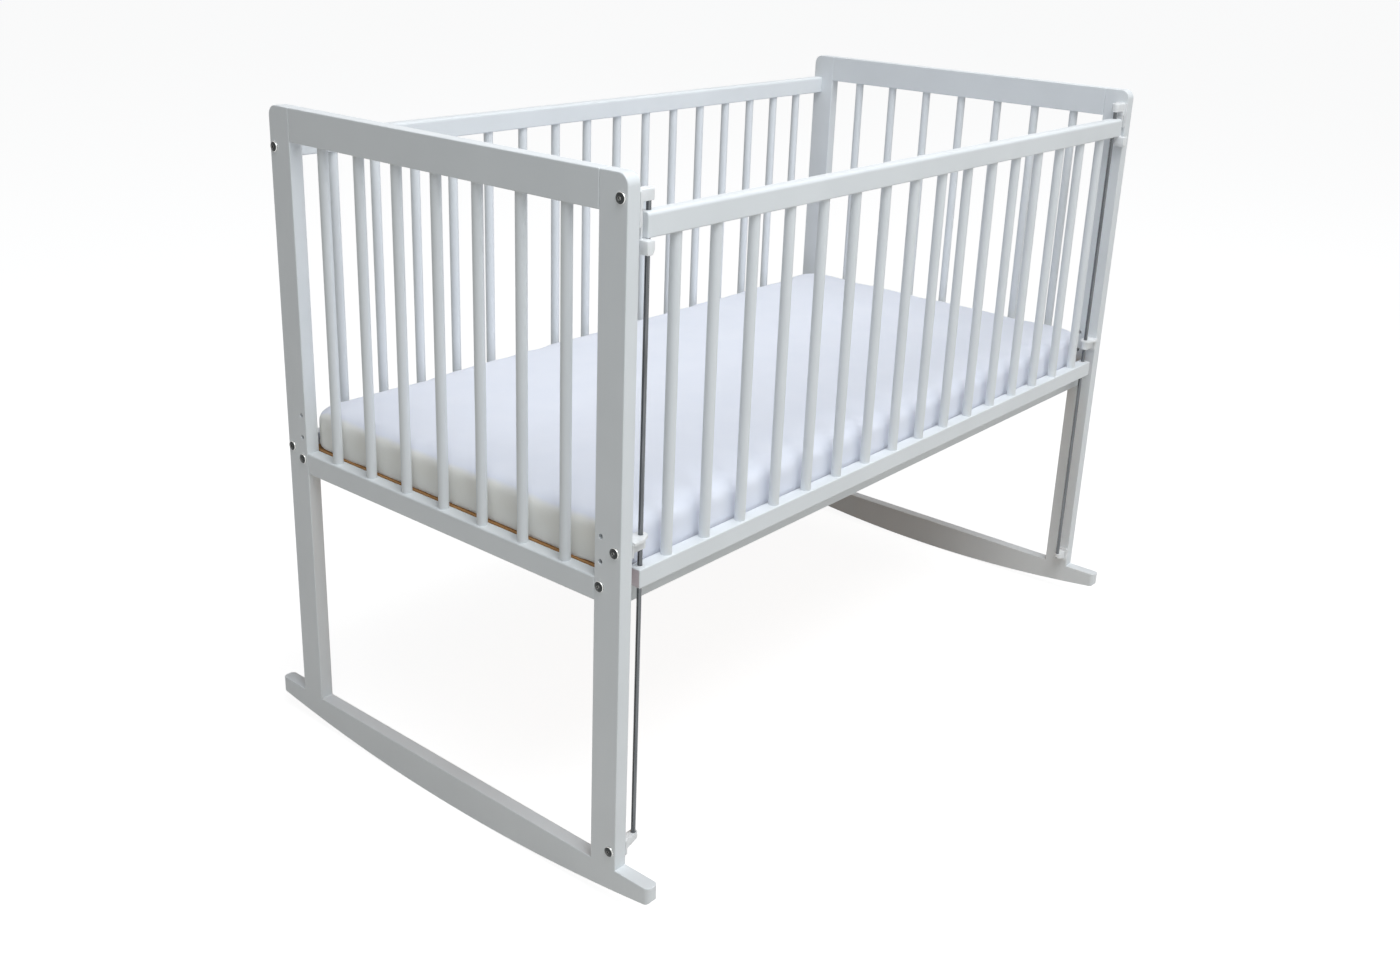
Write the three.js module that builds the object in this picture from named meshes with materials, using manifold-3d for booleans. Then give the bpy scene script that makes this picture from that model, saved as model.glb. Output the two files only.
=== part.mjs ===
// Rocking bedside crib with a drop side, in millimetres, +Z up.
// X runs along the length, the drop side faces -Y, and the origin is on the floor at the middle.
import * as THREE from "three";
import { mergeVertices } from "three/addons/utils/BufferGeometryUtils.js";
import Module from "manifold-3d";

// Clear space inside the frame
const bedLength = 1203;
const bedWidth = 602;

// Posts
const postThickness = 20;
const postWidth = 42;
const postLength = 869;
const postCornerRadius = 14;
const postEdge = 1.6;

// Rockers
const rockerThickness = 20;
const rockerLength = 752;
const rockerEndHeight = 23.5;
const rockerSagitta = 27.5;
const rockerEndRadius = 7;
const rockerToeRadius = 5;
const rockerFacets = 13;

// End rails, flush with the outer faces of the posts
const endRailThickness = 20;
const endTopRailHeight = 44.5;
const endLowerRailHeight = 31;
const endLowerRailTop = 442;

// Side panels: the drop side in front and the fixed panel at the back
const sideRailThickness = 19;
const sideTopRailHeight = 29;
const sideLowerRailHeight = 24.4;
const sidePanelHeight = 447;
const dropSideBelowPostTop = 45;
const backPanelBelowPostTop = 39.4;
const dropSideEndGap = 13.5;
const railEdge = 2.2;

// Balusters
const balusterDiameter = 14;
const tenonDepth = 12;
const tenonClearance = 0.3;
const sideBalusterCount = 16;
const sideBalusterMargin = 57;
const endBalusterCount = 7;
const endBalusterMargin = 57.5;

// Rods and the plastic fittings that hold them
const rodDiameter = 6;
const rodToPost = 23.5;
const rodBoreClearance = 0.6;
const rodSeatDepth = 9;
const fittingClearance = 0.3;
const plateThickness = 3;
const plateWidth = 21.5;

// Top bracket, with the lug for the rod and the root of the catch
const lugBelowPostTop = 20;
const lugHeight = 14;
const lugRadius = 6.2;
const lugRoof = 4;
const topPlateHeight = 41;
const catchRootHeight = 7;
const catchRootWidth = 13;

// Catch: a sprung tongue with a block whose nose carries the drop side
const tongueThickness = 2.5;
const tongueClearance = 2.5;
const catchBlockHeight = 16.3;
const catchBlockBehindFront = 11;
const catchBlockProud = 8;
const catchNoseReach = 2.8;
const catchNoseHeight = 11;
const catchNoseTaper = 3.2;
const catchToPost = 3.5;
const catchBackTaper = 1.6;

// Middle guide
const guideAboveRail = 22;
const guideSleeveHeight = 13;
const guideTabHeight = 5;
const guideTabProud = 3.5;
const guideTabNose = 8.5;
const guidePlateMargin = 4;
const guideBoltRise = 8;

// Foot bracket
const footLugAboveRocker = 31;
const footLugRadius = 5.4;
const footLugLip = 6;
const footLugRise = 16;
const footPlateMargin = 4;
const footBoltAboveRocker = 24.5;

// Bolts
const boltDiameter = 6;
const boltBoreClearance = 0.3;
const boltHeadDiameter = 14;
const boltHeadHeight = 3.2;
const boltSocketWidth = 4.2;
const boltSocketDepth = 2.2;
const boltEngagement = 34;
const boltTipToRod = 4;

// Base: two bearers bolted at one of three heights, with the board on top
const bearerThickness = 19;
const bearerHeight = 38;
const bearerTop = 438;
const bearerBoltBelowTop = 5.5;
const bearerToPanel = 4;
const bearerSettingPitch = 32;
const bearerSettings = 3;
const boardThickness = 4;
const boardClearance = 1.5;

// Mattress
const mattressHeight = 56;
const mattressCrown = 3;
const mattressClearance = 2.5;
const mattressCornerRadius = 26;
const mattressEdgeRadius = 9;
const mattressDrawIn = 4;
const mattressRest = 0.3;

// Facets of round things
const dowelSides = 12;
const boreSides = 12;
const boltSides = 12;
const cornerSteps = 5;

// Places that several pieces share
const innerX = bedLength / 2;
const outerX = innerX + postThickness;
const sideLine = bedWidth / 2 + sideRailThickness / 2;
const outerY = bedWidth / 2 + sideRailThickness;
const rockerTop = rockerEndHeight + rockerSagitta;
const postTop = rockerTop + postLength;
const dropSideTop = postTop - dropSideBelowPostTop;
const backPanelTop = postTop - backPanelBelowPostTop;
const dropRailEnd = innerX - dropSideEndGap;
const rodX = innerX - rodToPost;
const lugTop = postTop - lugBelowPostTop;
const lugBottom = lugTop - lugHeight;
const catchPivot = lugBottom - catchRootHeight;
const dropLowerRailTop = dropSideTop - sidePanelHeight + sideLowerRailHeight;
const backLowerRailTop = backPanelTop - sidePanelHeight + sideLowerRailHeight;
const guideBottom = dropLowerRailTop + guideAboveRail;
const footLugTop = rockerTop + footLugAboveRocker;
const bearerLine = bedWidth / 2 - bearerToPanel - bearerThickness / 2;
const bearerBoltHeight = bearerTop - bearerBoltBelowTop;
const plateX = innerX - plateThickness;
const boltBoreRadius = boltDiameter / 2 + boltBoreClearance;
const balusterRadius = balusterDiameter / 2;

const wasm = await Module();
wasm.setup();

const crib = new THREE.Group();
const paint = new THREE.MeshStandardMaterial({ color: 0xe9ecee, roughness: 0.42, metalness: 0 });
const plastic = new THREE.MeshStandardMaterial({ color: 0xf2f4f5, roughness: 0.32, metalness: 0 });
const steel = new THREE.MeshStandardMaterial({ color: 0x9a9da0, roughness: 0.25, metalness: 1 });
const hardboard = new THREE.MeshStandardMaterial({ color: 0x8a6a48, roughness: 0.8, metalness: 0 });
const fabric = new THREE.MeshStandardMaterial({ color: 0xe4e6f2, roughness: 0.95, metalness: 0 });

// A closed geometry as a solid that can be joined and cut.
function solidOf(geometry) {
  geometry.deleteAttribute("normal");
  geometry.deleteAttribute("uv");
  const merged = mergeVertices(geometry, 1e-4);
  const vertProperties = new Float32Array(merged.attributes.position.array);
  const triVerts = new Uint32Array(merged.index.array);
  return new wasm.Manifold(new wasm.Mesh({ numProp: 3, vertProperties, triVerts }));
}

// A solid as a geometry for a mesh.
function geometryOf(solid) {
  const mesh = solid.getMesh();
  const geometry = new THREE.BufferGeometry();
  geometry.setAttribute("position", new THREE.BufferAttribute(new Float32Array(mesh.vertProperties), 3));
  geometry.setIndex(new THREE.BufferAttribute(new Uint32Array(mesh.triVerts), 1));
  geometry.computeVertexNormals();
  return geometry;
}

// Adds a named piece to the crib.
function addPiece(name, solid, material) {
  const mesh = new THREE.Mesh(geometryOf(solid), material);
  mesh.name = name;
  crib.add(mesh);
}

// A flat outline from a list of [first, second] points.
function outline(points) {
  return new THREE.Shape(points.map(([a, b]) => new THREE.Vector2(a, b)));
}

// A rectangle with its corners cut off at 45 degrees.
function easedRectangle(a0, a1, b0, b1, edge) {
  return outline([
    [a0 + edge, b0],
    [a1 - edge, b0],
    [a1, b0 + edge],
    [a1, b1 - edge],
    [a1 - edge, b1],
    [a0 + edge, b1],
    [a0, b1 - edge],
    [a0, b0 + edge],
  ]);
}

// A regular polygon round a centre.
function roundOutline(a, b, radius, sides) {
  const points = [];
  for (let i = 0; i < sides; i++) {
    const turn = (2 * Math.PI * i) / sides;
    points.push([a + radius * Math.cos(turn), b + radius * Math.sin(turn)]);
  }
  return outline(points);
}

// Points of an arc round a centre, from one angle to another.
function arcPoints(a, b, radius, from, to, steps) {
  const points = [];
  for (let i = 0; i <= steps; i++) {
    const turn = from + ((to - from) * i) / steps;
    points.push([a + radius * Math.cos(turn), b + radius * Math.sin(turn)]);
  }
  return points;
}

// Carries an outline along an axis from one place to another.
// The outline is drawn in (y, z) for the x axis, (z, x) for the y axis and (x, y) for the z axis.
function carried(axis, shape, from, to, edge = 0) {
  const start = Math.min(from, to) + edge;
  const depth = Math.abs(to - from) - 2 * edge;
  const bevel = { bevelSize: edge, bevelThickness: edge, bevelOffset: -edge, bevelSegments: 1 };
  const options = { depth, steps: 1, bevelEnabled: edge > 0, ...bevel };
  const geometry = new THREE.ExtrudeGeometry(shape, options);
  geometry.translate(0, 0, start);
  const x = new THREE.Vector3(1, 0, 0);
  const y = new THREE.Vector3(0, 1, 0);
  const z = new THREE.Vector3(0, 0, 1);
  const axes = { x: [y, z, x], y: [z, x, y], z: [x, y, z] };
  geometry.applyMatrix4(new THREE.Matrix4().makeBasis(...axes[axis]));
  return solidOf(geometry);
}

// A plain block between two corners, given in any order.
function block(xa, xb, ya, yb, za, zb) {
  const geometry = new THREE.BoxGeometry(Math.abs(xb - xa), Math.abs(yb - ya), Math.abs(zb - za));
  geometry.translate((xa + xb) / 2, (ya + yb) / 2, (za + zb) / 2);
  return solidOf(geometry);
}

// A round bore or bar along an axis; the two places are those of roundOutline in carried.
function roundBar(axis, a, b, radius, from, to, sides = boreSides) {
  return carried(axis, roundOutline(a, b, radius, sides), from, to);
}

function cutAll(solid, cutters) {
  return cutters.reduce((left, cutter) => left.subtract(cutter), solid);
}

function joinAll(solids) {
  return solids.reduce((whole, next) => whole.add(next));
}

// Evenly spaced places, symmetrical about the middle.
function spread(count, span) {
  const places = [];
  for (let i = 0; i < count; i++) places.push(-span / 2 + (span * i) / (count - 1));
  return places;
}

// Heights of the three holes for a bearer bolt.
function bearerHoleHeights() {
  const heights = [];
  for (let i = 0; i < bearerSettings; i++) heights.push(bearerBoltHeight + i * bearerSettingPitch);
  return heights;
}

// Heights of the bolts on the line of the side panel, for a front or a back post.
function panelBoltHeights(front) {
  if (front) {
    return [lugTop - lugHeight / 2, guideBottom + guideBoltRise, rockerTop + footBoltAboveRocker];
  }
  return [backPanelTop - sideTopRailHeight / 2, backLowerRailTop - sideLowerRailHeight / 2];
}

// A post: a flat board on edge with its outer top corner rounded, bored for its bolts.
function post(end, side) {
  const outer = side * outerY;
  const inner = side * (outerY - postWidth);
  const centre = outer - side * postCornerRadius;
  const from = side > 0 ? 0 : Math.PI;
  const corner = arcPoints(centre, postTop - postCornerRadius, postCornerRadius, from, Math.PI / 2, cornerSteps);
  const points = [[inner, rockerTop], [outer, rockerTop], ...corner, [inner, postTop]];
  const board = carried("x", outline(points), end * innerX, end * outerX, postEdge);
  const through = (y, z) => roundBar("x", y, z, boltBoreRadius, end * innerX - end, end * outerX + end);
  const bores = [
    ...panelBoltHeights(side < 0).map((z) => through(side * sideLine, z)),
    ...bearerHoleHeights().map((z) => through(side * bearerLine, z)),
  ];
  return cutAll(board, bores);
}

// A rocker: flat on top, a long arc below, with rounded ends.
function rocker(end) {
  const half = rockerLength / 2;
  const radius = (half * half + rockerSagitta * rockerSagitta) / (2 * rockerSagitta);
  const sweep = Math.asin(half / radius);
  const points = [];
  for (let i = 0; i <= rockerFacets; i++) {
    const turn = -sweep + (2 * sweep * i) / rockerFacets;
    const lowest = Math.cos(sweep / rockerFacets);
    points.push([radius * Math.sin(turn), radius * (lowest - Math.cos(turn))]);
  }
  const toe = points[0][1];
  points[0] = [-half + rockerToeRadius, toe];
  points[rockerFacets] = [half - rockerToeRadius, toe];
  points.push([half, toe + rockerToeRadius], [half, rockerTop]);
  points.push([-half, rockerTop], [-half, toe + rockerToeRadius]);
  const faceX = end * outerX;
  const backX = end * (outerX - rockerThickness);
  const side = carried("x", outline(points), faceX, backX);
  const x0 = Math.min(faceX, backX);
  const x1 = Math.max(faceX, backX);
  const r = rockerEndRadius;
  const plan = [
    ...arcPoints(x1 - r, half - r, r, 0, Math.PI / 2, cornerSteps),
    ...arcPoints(x0 + r, half - r, r, Math.PI / 2, Math.PI, cornerSteps),
    ...arcPoints(x0 + r, r - half, r, Math.PI, 1.5 * Math.PI, cornerSteps),
    ...arcPoints(x1 - r, r - half, r, 1.5 * Math.PI, 2 * Math.PI, cornerSteps),
  ];
  return side.intersect(carried("z", outline(plan), -rockerTop, 2 * rockerTop));
}

// An end rail between the two posts of an end.
function endRail(end, top, height) {
  const faceX = end * outerX;
  const backX = end * (outerX - endRailThickness);
  const x0 = Math.min(faceX, backX);
  const x1 = Math.max(faceX, backX);
  const section = easedRectangle(top - height, top, x0, x1, railEdge);
  return carried("y", section, -(outerY - postWidth), outerY - postWidth);
}

function endBalusterPlaces() {
  return spread(endBalusterCount, 2 * (outerY - postWidth) - 2 * endBalusterMargin);
}

function sideBalusterPlaces() {
  return spread(sideBalusterCount, 2 * dropRailEnd - 2 * sideBalusterMargin);
}

// The top rail of an end, with a blind bore for the top of each baluster.
function endTopRail(end) {
  const underside = postTop - endTopRailHeight;
  const x = end * (outerX - endRailThickness / 2);
  const radius = balusterRadius + tenonClearance;
  const bores = endBalusterPlaces().map((y) => {
    return roundBar("z", x, y, radius, underside - tenonDepth, underside + tenonDepth + tenonClearance);
  });
  return cutAll(endRail(end, postTop, endTopRailHeight), bores);
}

// The lower rail of an end, with its balusters glued in as one comb.
function endLowerRailAndBalusters(end) {
  const x = end * (outerX - endRailThickness / 2);
  const foot = endLowerRailTop - tenonDepth;
  const head = postTop - endTopRailHeight + tenonDepth;
  const balusters = endBalusterPlaces().map((y) => {
    return roundBar("z", x, y, balusterRadius, foot, head, dowelSides);
  });
  return joinAll([endRail(end, endLowerRailTop, endLowerRailHeight), ...balusters]);
}

// A long rail of a side panel, centred on the panel's line.
function sideRail(side, halfLength, top, height) {
  const y0 = side * sideLine - sideRailThickness / 2;
  const y1 = side * sideLine + sideRailThickness / 2;
  const section = easedRectangle(y0, y1, top - height, top, railEdge);
  return carried("x", section, -halfLength, halfLength);
}

// Blind bores for balusters, into a rail face at height z; into is 1 upwards or -1 downwards.
function balusterBores(side, z, into) {
  const radius = balusterRadius + tenonClearance;
  return sideBalusterPlaces().map((x) => {
    const far = z + into * (tenonDepth + tenonClearance);
    return roundBar("z", x, side * sideLine, radius, z - into * tenonDepth, far);
  });
}

// Bores in both ends of a rail for the bolts that come through the posts.
function endBores(y, z) {
  const depth = boltEngagement + boltBoreClearance;
  return [-1, 1].map((end) => {
    return roundBar("x", y, z, boltBoreRadius, end * (innerX + 1), end * (innerX - depth));
  });
}

// Bores for the two rods through a rail of the drop side.
function rodBores(top, height) {
  return [-1, 1].map((end) => {
    const radius = rodDiameter / 2 + rodBoreClearance;
    return roundBar("z", end * rodX, -sideLine, radius, top - 2 * height, top + height);
  });
}

function dropSideTopRail() {
  const rail = sideRail(-1, dropRailEnd, dropSideTop, sideTopRailHeight);
  const bores = balusterBores(-1, dropSideTop - sideTopRailHeight, 1);
  return cutAll(rail, [...bores, ...rodBores(dropSideTop, sideTopRailHeight)]);
}

function dropSideLowerRail() {
  const rail = sideRail(-1, dropRailEnd, dropLowerRailTop, sideLowerRailHeight);
  const bores = balusterBores(-1, dropLowerRailTop, -1);
  return cutAll(rail, [...bores, ...rodBores(dropLowerRailTop, sideLowerRailHeight)]);
}

function dropSideBaluster(x) {
  const foot = dropLowerRailTop - tenonDepth;
  const head = dropSideTop - sideTopRailHeight + tenonDepth;
  return roundBar("z", x, -sideLine, balusterRadius, foot, head, dowelSides);
}

function backTopRail() {
  const bores = balusterBores(1, backPanelTop - sideTopRailHeight, 1);
  const bolts = endBores(sideLine, backPanelTop - sideTopRailHeight / 2);
  return cutAll(sideRail(1, innerX, backPanelTop, sideTopRailHeight), [...bores, ...bolts]);
}

// The lower rail at the back, with its balusters glued in as one comb.
function backLowerRailAndBalusters() {
  const foot = backLowerRailTop - tenonDepth;
  const head = backPanelTop - sideTopRailHeight + tenonDepth;
  const balusters = sideBalusterPlaces().map((x) => {
    return roundBar("z", x, sideLine, balusterRadius, foot, head, dowelSides);
  });
  const bolts = endBores(sideLine, backLowerRailTop - sideLowerRailHeight / 2);
  const rail = cutAll(sideRail(1, innerX, backLowerRailTop, sideLowerRailHeight), bolts);
  return joinAll([rail, ...balusters]);
}

function bearer(side) {
  const y0 = side * bearerLine - bearerThickness / 2;
  const y1 = side * bearerLine + bearerThickness / 2;
  const section = easedRectangle(y0, y1, bearerTop - bearerHeight, bearerTop, railEdge);
  const bar = carried("x", section, -innerX, innerX);
  return cutAll(bar, endBores(side * bearerLine, bearerBoltHeight));
}

function baseBoard() {
  const halfX = innerX - boardClearance;
  const halfY = bedWidth / 2 - boardClearance;
  return block(-halfX, halfX, -halfY, halfY, bearerTop, bearerTop + boardThickness);
}

// A fitting's plate against the inner face of a front post.
function fittingPlate(end, bottom, top) {
  return block(end * innerX, end * plateX, -outerY, -outerY + plateWidth, bottom, top);
}

// A boss round the rod, joined to the plate by a web of the same width.
function rodBoss(end, radius, bottom, top) {
  const facing = end > 0 ? Math.PI : 0;
  const round = arcPoints(end * rodX, -sideLine, radius, facing + Math.PI / 2, facing - Math.PI / 2, 2 * cornerSteps);
  const points = [[end * plateX, round[0][1]], ...round, [end * plateX, round[round.length - 1][1]]];
  return carried("z", outline(points), bottom, top);
}

function rodBore(end, bottom, top) {
  return roundBar("z", end * rodX, -sideLine, rodDiameter / 2 + fittingClearance, bottom, top);
}

// How far a fitting's bolt reaches in from the inner face of the post.
function fittingBoltReach() {
  return rodToPost - rodDiameter / 2 - boltTipToRod;
}

function fittingBoltBore(end, z) {
  const tip = innerX - fittingBoltReach() - boltBoreClearance;
  return roundBar("x", -sideLine, z, boltBoreRadius, end * (innerX + 1), end * tip);
}

// The top bracket: plate, lug over the end of the rod, and the root that the catch springs from.
function topBracket(end) {
  const plate = fittingPlate(end, lugTop - topPlateHeight, lugTop);
  const lug = rodBoss(end, lugRadius, lugBottom, lugTop);
  const rootX = plateX - tongueClearance - tongueThickness;
  const rootY = -sideLine - catchRootWidth / 2;
  const root = block(end * plateX, end * rootX, rootY, rootY + catchRootWidth, catchPivot, lugBottom);
  const cuts = [rodBore(end, lugBottom - 1, lugTop - lugRoof), fittingBoltBore(end, lugTop - lugHeight / 2)];
  return cutAll(joinAll([plate, lug, root]), cuts);
}

// The catch: a tongue that hangs in the gap beside the rail, with a block whose nose lies under the rail.
function releaseCatch(end) {
  const seat = dropSideTop - sideTopRailHeight - fittingClearance;
  const tongueOuter = plateX - tongueClearance;
  const tongueY = -sideLine - catchRootWidth / 2;
  const tongueTop = catchPivot - fittingClearance;
  const tongue = block(
    end * tongueOuter,
    end * (tongueOuter - tongueThickness),
    tongueY,
    tongueY + catchRootWidth,
    seat - catchBlockHeight / 2,
    tongueTop,
  );
  const nose = dropRailEnd - catchNoseReach;
  const back = innerX - catchToPost;
  const points = [
    [seat, end * nose],
    [seat, end * back],
    [seat - catchBlockHeight, end * (back - catchBackTaper)],
    [seat - catchBlockHeight, end * (nose + catchNoseTaper)],
    [seat - catchNoseHeight, end * nose],
  ];
  const body = carried("y", outline(points), -outerY - catchBlockProud, -outerY + catchBlockBehindFront);
  return joinAll([body, tongue]);
}

// The middle guide: plate, sleeve round the rod and a wider tab on top that steadies the side.
function middleGuide(end) {
  const tabBottom = guideBottom + guideSleeveHeight;
  const tabTop = tabBottom + guideTabHeight;
  const plate = fittingPlate(end, guideBottom - guidePlateMargin, tabTop);
  const sleeve = rodBoss(end, lugRadius, guideBottom, tabBottom);
  const front = -outerY - guideTabProud;
  const back = -sideLine + guideTabNose;
  const facing = end > 0 ? Math.PI : 0;
  const fromTurn = facing + end * (Math.PI / 3);
  const toTurn = facing - end * (Math.PI / 2);
  const nose = arcPoints(end * rodX, -sideLine, guideTabNose, fromTurn, toTurn, cornerSteps);
  const tabPoints = [[end * innerX, front], [end * (rodX + guideTabNose), front], ...nose, [end * innerX, back]];
  const tab = carried("z", outline(tabPoints), tabBottom, tabTop);
  const cuts = [rodBore(end, guideBottom - 1, tabTop + 1), fittingBoltBore(end, guideBottom + guideBoltRise)];
  return cutAll(joinAll([plate, sleeve, tab]), cuts);
}

// The foot bracket: plate and a lug with a slanting underside that holds the lower end of the rod.
function footBracket(end) {
  const bottom = footLugTop - footLugRise;
  const plate = fittingPlate(end, bottom - footPlateMargin, footLugTop + footPlateMargin);
  const boss = rodBoss(end, footLugRadius, bottom, footLugTop);
  const noseX = rodX - footLugRadius - 1;
  const wedgePoints = [
    [footLugTop + 1, end * noseX],
    [footLugTop - footLugLip, end * noseX],
    [bottom, end * plateX],
    [footLugTop + 1, end * plateX],
  ];
  const wedge = carried("y", outline(wedgePoints), -sideLine - footLugRadius - 1, -sideLine + footLugRadius + 1);
  const rodFoot = footLugTop - rodSeatDepth;
  const cuts = [rodBore(end, rodFoot, footLugTop + 1), fittingBoltBore(end, rockerTop + footBoltAboveRocker)];
  return cutAll(joinAll([plate, boss.intersect(wedge)]), cuts);
}

function rod(end) {
  const foot = footLugTop - rodSeatDepth + fittingClearance;
  const head = lugTop - lugRoof - fittingClearance;
  return roundBar("z", end * rodX, -sideLine, rodDiameter / 2, foot, head, dowelSides);
}

// A bolt with a domed head outside the post and a shank that reaches past its inner face.
function bolt(end, y, z, reach) {
  const head = boltHeadDiameter / 2;
  const length = postThickness + reach;
  const profile = [
    [0, -boltHeadHeight],
    [head * 0.55, -boltHeadHeight],
    [head * 0.85, -boltHeadHeight * 0.72],
    [head, -boltHeadHeight * 0.25],
    [head, 0],
    [boltDiameter / 2, 0],
    [boltDiameter / 2, length],
    [0, length],
  ];
  const turned = new THREE.LatheGeometry(profile.map(([r, a]) => new THREE.Vector2(r, a)), boltSides);
  const facing = end > 0 ? Math.PI / 2 : -Math.PI / 2;
  turned.rotateZ(facing);
  turned.translate(end * outerX, y, z);
  const socketX = end * (outerX + boltHeadHeight);
  const floorX = socketX - end * boltSocketDepth;
  const socket = roundBar("x", y, z, boltSocketWidth / Math.sqrt(3), socketX + end, floorX, 6);
  return solidOf(turned).subtract(socket);
}

// The mattress: a rounded slab with a crowned top, soft edges and sides that draw in between the corners.
function mattress() {
  const halfX = innerX - mattressClearance;
  const halfY = bedWidth / 2 - mattressClearance;
  const base = bearerTop + boardThickness + mattressRest;
  const edge = mattressEdgeRadius;
  const height = mattressHeight;
  const rings = [
    { inset: halfY * 0.5, z: 0, draw: 0 },
    { inset: edge, z: 0, draw: 0.3 },
    { inset: edge * 0.3, z: edge * 0.3, draw: 0.6 },
    { inset: 0, z: edge, draw: 0.9 },
    { inset: 0, z: height / 2, draw: 1 },
    { inset: 0, z: height - edge, draw: 0.9 },
    { inset: edge * 0.3, z: height - edge * 0.3, draw: 0.6 },
    { inset: edge, z: height, draw: 0.4 },
    { inset: halfY * 0.25, z: height + mattressCrown * 0.5, draw: 0 },
    { inset: halfY * 0.5, z: height + mattressCrown * 0.85, draw: 0 },
    { inset: halfY * 0.75, z: height + mattressCrown, draw: 0 },
  ];
  const longSteps = 8;
  const shortSteps = 4;
  const loops = rings.map(({ inset, z, draw }) => {
    const a = halfX - inset;
    const b = halfY - inset;
    const r = Math.min(mattressCornerRadius, b * 0.9);
    const points = [];
    const straight = (x0, y0, x1, y1, nx, ny, steps) => {
      for (let i = 1; i < steps; i++) {
        const t = i / steps;
        const pull = mattressDrawIn * draw * Math.sin(Math.PI * t);
        points.push([x0 + (x1 - x0) * t - nx * pull, y0 + (y1 - y0) * t - ny * pull]);
      }
    };
    points.push(...arcPoints(a - r, b - r, r, 0, Math.PI / 2, cornerSteps));
    straight(a - r, b, r - a, b, 0, 1, longSteps);
    points.push(...arcPoints(r - a, b - r, r, Math.PI / 2, Math.PI, cornerSteps));
    straight(-a, b - r, -a, r - b, -1, 0, shortSteps);
    points.push(...arcPoints(r - a, r - b, r, Math.PI, 1.5 * Math.PI, cornerSteps));
    straight(r - a, -b, a - r, -b, 0, -1, longSteps);
    points.push(...arcPoints(a - r, r - b, r, 1.5 * Math.PI, 2 * Math.PI, cornerSteps));
    straight(a, r - b, a, b - r, 1, 0, shortSteps);
    return points.map(([x, y]) => [x, y, base + z]);
  });
  return solidOf(closedLoops(loops));
}

// A closed surface through loops of equally many points, capped at both ends by a fan.
function closedLoops(loops) {
  const count = loops[0].length;
  const positions = loops.flat(2);
  const index = [];
  for (let row = 0; row + 1 < loops.length; row++) {
    for (let i = 0; i < count; i++) {
      const a = row * count + i;
      const b = row * count + ((i + 1) % count);
      index.push(a, b, b + count, a, b + count, a + count);
    }
  }
  const bottom = loops.length * count;
  positions.push(0, 0, loops[0][0][2]);
  positions.push(0, 0, loops[loops.length - 1][0][2]);
  for (let i = 0; i < count; i++) {
    const next = (i + 1) % count;
    const last = (loops.length - 1) * count;
    index.push(next, i, bottom);
    index.push(last + i, last + next, bottom + 1);
  }
  const geometry = new THREE.BufferGeometry();
  geometry.setAttribute("position", new THREE.BufferAttribute(new Float32Array(positions), 3));
  geometry.setIndex(index);
  return geometry;
}

const ends = [["left", -1], ["right", 1]];
const sides = [["front", -1], ["back", 1]];

for (const [endName, end] of ends) {
  for (const [sideName, side] of sides) {
    addPiece(`${endName}_${sideName}_post`, post(end, side), paint);
  }
  addPiece(`${endName}_end_top_rail`, endTopRail(end), paint);
  addPiece(`${endName}_end_lower_rail_and_balusters`, endLowerRailAndBalusters(end), paint);
  addPiece(`${endName}_rocker`, rocker(end), paint);
}

addPiece("back_top_rail", backTopRail(), paint);
addPiece("back_lower_rail_and_balusters", backLowerRailAndBalusters(), paint);
addPiece("front_bearer", bearer(-1), paint);
addPiece("back_bearer", bearer(1), paint);
addPiece("base_board", baseBoard(), hardboard);
addPiece("mattress", mattress(), fabric);

addPiece("drop_side_top_rail", dropSideTopRail(), paint);
addPiece("drop_side_lower_rail", dropSideLowerRail(), paint);
sideBalusterPlaces().forEach((x, i) => {
  const number = String(i + 1).padStart(2, "0");
  addPiece(`drop_side_baluster_${number}`, dropSideBaluster(x), paint);
});

for (const [endName, end] of ends) {
  addPiece(`${endName}_rod`, rod(end), steel);
  addPiece(`${endName}_top_bracket`, topBracket(end), plastic);
  addPiece(`${endName}_catch`, releaseCatch(end), plastic);
  addPiece(`${endName}_middle_guide`, middleGuide(end), plastic);
  addPiece(`${endName}_foot_bracket`, footBracket(end), plastic);
  const [lugBolt, guideBolt, footBolt] = panelBoltHeights(true);
  const [topRailBolt, lowerRailBolt] = panelBoltHeights(false);
  const reach = fittingBoltReach();
  addPiece(`${endName}_top_bracket_bolt`, bolt(end, -sideLine, lugBolt, reach), steel);
  addPiece(`${endName}_middle_guide_bolt`, bolt(end, -sideLine, guideBolt, reach), steel);
  addPiece(`${endName}_foot_bracket_bolt`, bolt(end, -sideLine, footBolt, reach), steel);
  addPiece(`${endName}_front_bearer_bolt`, bolt(end, -bearerLine, bearerBoltHeight, boltEngagement), steel);
  addPiece(`${endName}_back_bearer_bolt`, bolt(end, bearerLine, bearerBoltHeight, boltEngagement), steel);
  addPiece(`${endName}_back_top_rail_bolt`, bolt(end, sideLine, topRailBolt, boltEngagement), steel);
  addPiece(`${endName}_back_lower_rail_bolt`, bolt(end, sideLine, lowerRailBolt, boltEngagement), steel);
}

export default crib;
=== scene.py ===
import bmesh
import bpy
import numpy as np
from mathutils import Matrix, Vector


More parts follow.
